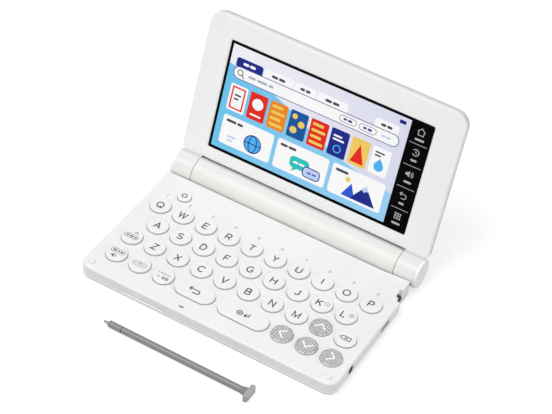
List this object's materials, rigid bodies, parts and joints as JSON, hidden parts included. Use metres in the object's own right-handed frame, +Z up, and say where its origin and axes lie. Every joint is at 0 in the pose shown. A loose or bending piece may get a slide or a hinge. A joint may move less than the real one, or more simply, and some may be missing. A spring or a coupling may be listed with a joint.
{
  "type": "electronic dictionary",
  "caption": "Clamshell pocket electronic dictionary with a tilting touch-screen lid, round keys, a battery barrel as its hinge and a stylus lying in front.",
  "frame": {"origin": "on the table top, at the middle of the whole footprint (stylus in front to the leaning lid behind), on the device's centreline", "axes": "+X to the user's right, +Y to the back, +Z up"},
  "size_m": [0.148, 0.1498, 0.096],
  "materials": {
    "shell_white": "satin gloss",
    "shell_grey": "satin",
    "barrel_white": "satin gloss",
    "cap_grey": "satin",
    "key_white": "satin gloss",
    "arrow_key": "satin gloss",
    "rubber_grey": "matte",
    "screw_steel": "plated",
    "board_green": "solder mask",
    "dome_sheet": "film",
    "jack_black": "moulded",
    "socket_metal": "plated",
    "speaker_black": "paper cone in a frame",
    "inner_plastic": "moulded",
    "cell_jacket": "shrink sleeve",
    "contact_metal": "nickel plated",
    "shaft_steel": "ground",
    "screen_glass": "clear over a printed border and the lit display",
    "display_module": "metal-backed module",
    "stylus_grey": "satin gloss",
    "nib_grey": "satin"
  },
  "bodies": {
    "base": {"base_top_case": "shell_white", "base_bottom_case": "shell_grey", "rubber_feet": "rubber_grey", "case_screws": "screw_steel", "main_board": "board_green", "key_dome_sheet": "dome_sheet", "earphone_jack": "jack_black", "side_socket": "socket_metal", "speaker": "speaker_black", "stylus_tube": "inner_plastic", "hinge_barrel": "barrel_white", "battery_cells": "cell_jacket", "battery_contacts": "contact_metal", "hinge_shafts": "shaft_steel"},
    "lid": {"lid_front_frame": "shell_white", "lid_back_cover": "shell_white", "touch_glass": "screen_glass", "lcd_module": "display_module", "hinge_end_caps": "cap_grey"},
    "battery_cover": {"battery_cover": "barrel_white"},
    "stylus": {"stylus_body": "stylus_grey", "stylus_nib": "nib_grey"},
    "key_q": {"key_q": "key_white"},
    "key_w": {"key_w": "key_white"},
    "key_e": {"key_e": "key_white"},
    "key_r": {"key_r": "key_white"},
    "key_t": {"key_t": "key_white"},
    "key_y": {"key_y": "key_white"},
    "key_u": {"key_u": "key_white"},
    "key_i": {"key_i": "key_white"},
    "key_o": {"key_o": "key_white"},
    "key_p": {"key_p": "key_white"},
    "key_a": {"key_a": "key_white"},
    "key_s": {"key_s": "key_white"},
    "key_d": {"key_d": "key_white"},
    "key_f": {"key_f": "key_white"},
    "key_g": {"key_g": "key_white"},
    "key_h": {"key_h": "key_white"},
    "key_j": {"key_j": "key_white"},
    "key_k": {"key_k": "key_white"},
    "key_l": {"key_l": "key_white"},
    "key_mode": {"key_mode": "key_white"},
    "key_z": {"key_z": "key_white"},
    "key_x": {"key_x": "key_white"},
    "key_c": {"key_c": "key_white"},
    "key_v": {"key_v": "key_white"},
    "key_b": {"key_b": "key_white"},
    "key_n": {"key_n": "key_white"},
    "key_m": {"key_m": "key_white"},
    "key_up": {"key_up": "arrow_key"},
    "key_delete": {"key_delete": "key_white"},
    "key_audio": {"key_audio": "key_white"},
    "key_shift": {"key_shift": "key_white"},
    "key_list": {"key_list": "key_white"},
    "key_left": {"key_left": "arrow_key"},
    "key_down": {"key_down": "arrow_key"},
    "key_right": {"key_right": "arrow_key"},
    "key_back": {"key_back": "key_white"},
    "key_enter": {"key_enter": "key_white"},
    "key_power": {"key_power": "key_white"}
  },
  "joints": [
    {"name": "lid_hinge", "type": "hinge", "parent": "base", "child": "lid", "pos_m": [0, 0.04319, 0.0091], "axis": [1, 0, 0], "range_deg": [-33.9, 106.1]},
    {"name": "battery_cover_slide", "type": "slide", "parent": "base", "child": "battery_cover", "axis": [0, 1, 0], "range_m": [0, 0.017]},
    {"name": "stylus_lift", "type": "slide", "parent": "base", "child": "stylus", "axis": [0, 0, 1], "range_m": [0, 0.06]},
    {"name": "key_q_press", "type": "slide", "parent": "base", "child": "key_q", "axis": [0, 0, -1], "range_m": [0, 0.0005], "stiffness_N_per_m": 600, "springref_m": -0.0004},
    {"name": "key_w_press", "type": "slide", "parent": "base", "child": "key_w", "axis": [0, 0, -1], "range_m": [0, 0.0005], "stiffness_N_per_m": 600, "springref_m": -0.0004},
    {"name": "key_e_press", "type": "slide", "parent": "base", "child": "key_e", "axis": [0, 0, -1], "range_m": [0, 0.0005], "stiffness_N_per_m": 600, "springref_m": -0.0004},
    {"name": "key_r_press", "type": "slide", "parent": "base", "child": "key_r", "axis": [0, 0, -1], "range_m": [0, 0.0005], "stiffness_N_per_m": 600, "springref_m": -0.0004},
    {"name": "key_t_press", "type": "slide", "parent": "base", "child": "key_t", "axis": [0, 0, -1], "range_m": [0, 0.0005], "stiffness_N_per_m": 600, "springref_m": -0.0004},
    {"name": "key_y_press", "type": "slide", "parent": "base", "child": "key_y", "axis": [0, 0, -1], "range_m": [0, 0.0005], "stiffness_N_per_m": 600, "springref_m": -0.0004},
    {"name": "key_u_press", "type": "slide", "parent": "base", "child": "key_u", "axis": [0, 0, -1], "range_m": [0, 0.0005], "stiffness_N_per_m": 600, "springref_m": -0.0004},
    {"name": "key_i_press", "type": "slide", "parent": "base", "child": "key_i", "axis": [0, 0, -1], "range_m": [0, 0.0005], "stiffness_N_per_m": 600, "springref_m": -0.0004},
    {"name": "key_o_press", "type": "slide", "parent": "base", "child": "key_o", "axis": [0, 0, -1], "range_m": [0, 0.0005], "stiffness_N_per_m": 600, "springref_m": -0.0004},
    {"name": "key_p_press", "type": "slide", "parent": "base", "child": "key_p", "axis": [0, 0, -1], "range_m": [0, 0.0005], "stiffness_N_per_m": 600, "springref_m": -0.0004},
    {"name": "key_a_press", "type": "slide", "parent": "base", "child": "key_a", "axis": [0, 0, -1], "range_m": [0, 0.0005], "stiffness_N_per_m": 600, "springref_m": -0.0004},
    {"name": "key_s_press", "type": "slide", "parent": "base", "child": "key_s", "axis": [0, 0, -1], "range_m": [0, 0.0005], "stiffness_N_per_m": 600, "springref_m": -0.0004},
    {"name": "key_d_press", "type": "slide", "parent": "base", "child": "key_d", "axis": [0, 0, -1], "range_m": [0, 0.0005], "stiffness_N_per_m": 600, "springref_m": -0.0004},
    {"name": "key_f_press", "type": "slide", "parent": "base", "child": "key_f", "axis": [0, 0, -1], "range_m": [0, 0.0005], "stiffness_N_per_m": 600, "springref_m": -0.0004},
    {"name": "key_g_press", "type": "slide", "parent": "base", "child": "key_g", "axis": [0, 0, -1], "range_m": [0, 0.0005], "stiffness_N_per_m": 600, "springref_m": -0.0004},
    {"name": "key_h_press", "type": "slide", "parent": "base", "child": "key_h", "axis": [0, 0, -1], "range_m": [0, 0.0005], "stiffness_N_per_m": 600, "springref_m": -0.0004},
    {"name": "key_j_press", "type": "slide", "parent": "base", "child": "key_j", "axis": [0, 0, -1], "range_m": [0, 0.0005], "stiffness_N_per_m": 600, "springref_m": -0.0004},
    {"name": "key_k_press", "type": "slide", "parent": "base", "child": "key_k", "axis": [0, 0, -1], "range_m": [0, 0.0005], "stiffness_N_per_m": 600, "springref_m": -0.0004},
    {"name": "key_l_press", "type": "slide", "parent": "base", "child": "key_l", "axis": [0, 0, -1], "range_m": [0, 0.0005], "stiffness_N_per_m": 600, "springref_m": -0.0004},
    {"name": "key_mode_press", "type": "slide", "parent": "base", "child": "key_mode", "axis": [0, 0, -1], "range_m": [0, 0.0005], "stiffness_N_per_m": 600, "springref_m": -0.0004},
    {"name": "key_z_press", "type": "slide", "parent": "base", "child": "key_z", "axis": [0, 0, -1], "range_m": [0, 0.0005], "stiffness_N_per_m": 600, "springref_m": -0.0004},
    {"name": "key_x_press", "type": "slide", "parent": "base", "child": "key_x", "axis": [0, 0, -1], "range_m": [0, 0.0005], "stiffness_N_per_m": 600, "springref_m": -0.0004},
    {"name": "key_c_press", "type": "slide", "parent": "base", "child": "key_c", "axis": [0, 0, -1], "range_m": [0, 0.0005], "stiffness_N_per_m": 600, "springref_m": -0.0004},
    {"name": "key_v_press", "type": "slide", "parent": "base", "child": "key_v", "axis": [0, 0, -1], "range_m": [0, 0.0005], "stiffness_N_per_m": 600, "springref_m": -0.0004},
    {"name": "key_b_press", "type": "slide", "parent": "base", "child": "key_b", "axis": [0, 0, -1], "range_m": [0, 0.0005], "stiffness_N_per_m": 600, "springref_m": -0.0004},
    {"name": "key_n_press", "type": "slide", "parent": "base", "child": "key_n", "axis": [0, 0, -1], "range_m": [0, 0.0005], "stiffness_N_per_m": 600, "springref_m": -0.0004},
    {"name": "key_m_press", "type": "slide", "parent": "base", "child": "key_m", "axis": [0, 0, -1], "range_m": [0, 0.0005], "stiffness_N_per_m": 600, "springref_m": -0.0004},
    {"name": "key_up_press", "type": "slide", "parent": "base", "child": "key_up", "axis": [0, 0, -1], "range_m": [0, 0.0005], "stiffness_N_per_m": 600, "springref_m": -0.0004},
    {"name": "key_delete_press", "type": "slide", "parent": "base", "child": "key_delete", "axis": [0, 0, -1], "range_m": [0, 0.0005], "stiffness_N_per_m": 600, "springref_m": -0.0004},
    {"name": "key_audio_press", "type": "slide", "parent": "base", "child": "key_audio", "axis": [0, 0, -1], "range_m": [0, 0.0005], "stiffness_N_per_m": 600, "springref_m": -0.0004},
    {"name": "key_shift_press", "type": "slide", "parent": "base", "child": "key_shift", "axis": [0, 0, -1], "range_m": [0, 0.0005], "stiffness_N_per_m": 600, "springref_m": -0.0004},
    {"name": "key_list_press", "type": "slide", "parent": "base", "child": "key_list", "axis": [0, 0, -1], "range_m": [0, 0.0005], "stiffness_N_per_m": 600, "springref_m": -0.0004},
    {"name": "key_left_press", "type": "slide", "parent": "base", "child": "key_left", "axis": [0, 0, -1], "range_m": [0, 0.0005], "stiffness_N_per_m": 600, "springref_m": -0.0004},
    {"name": "key_down_press", "type": "slide", "parent": "base", "child": "key_down", "axis": [0, 0, -1], "range_m": [0, 0.0005], "stiffness_N_per_m": 600, "springref_m": -0.0004},
    {"name": "key_right_press", "type": "slide", "parent": "base", "child": "key_right", "axis": [0, 0, -1], "range_m": [0, 0.0005], "stiffness_N_per_m": 600, "springref_m": -0.0004},
    {"name": "key_back_press", "type": "slide", "parent": "base", "child": "key_back", "axis": [0, 0, -1], "range_m": [0, 0.0005], "stiffness_N_per_m": 600, "springref_m": -0.0004},
    {"name": "key_enter_press", "type": "slide", "parent": "base", "child": "key_enter", "axis": [0, 0, -1], "range_m": [0, 0.0005], "stiffness_N_per_m": 600, "springref_m": -0.0004},
    {"name": "key_power_press", "type": "slide", "parent": "base", "child": "key_power", "axis": [0, 0, -1], "range_m": [0, 0.0005], "stiffness_N_per_m": 600, "springref_m": -0.0004}
  ]
}
